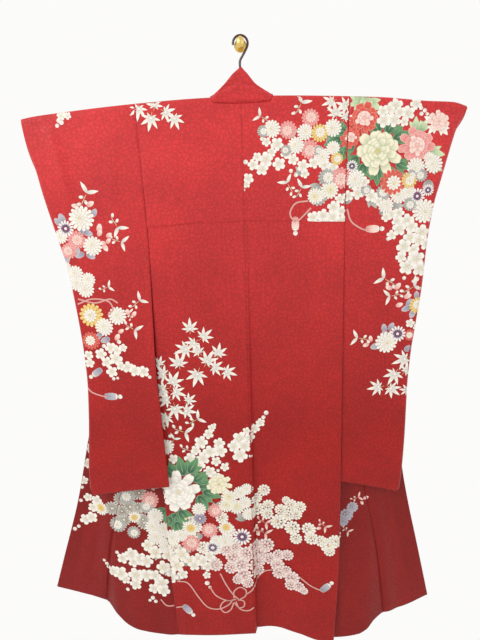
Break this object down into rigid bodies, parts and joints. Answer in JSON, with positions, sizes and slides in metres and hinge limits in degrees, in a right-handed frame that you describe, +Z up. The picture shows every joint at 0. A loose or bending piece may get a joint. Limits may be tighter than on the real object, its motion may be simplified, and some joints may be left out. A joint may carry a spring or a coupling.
{
  "type": "furisode on a kimono hanger and wall hook",
  "caption": "Long-sleeved silk robe hung by its shoulders on a bowed bar hanger, back to the room, fronts spread against the wall.",
  "frame": {"origin": "middle of the wall hook's plate, on the wall that it is screwed to", "axes": "+X across the wall to the wearer's right, +Y into the wall, +Z up"},
  "size_m": [1.3411, 0.1193, 1.9371],
  "materials": {
    "silk": "satin-faced figured silk, red, with dyed flower patterns",
    "lacquer": "dark brown lacquer",
    "enamel": "dark brown gloss",
    "brass": "polished"
  },
  "bodies": {
    "root": {"body_left": "silk", "body_right": "silk", "okumi_left": "silk", "okumi_right": "silk", "sleeve_left": "silk", "sleeve_right": "silk", "collar_left": "silk", "collar_right": "silk", "over_collar": "silk", "hanger_bar": "lacquer", "hanger_wire": "enamel", "wall_hook": "brass"}
  },
  "joints": []
}
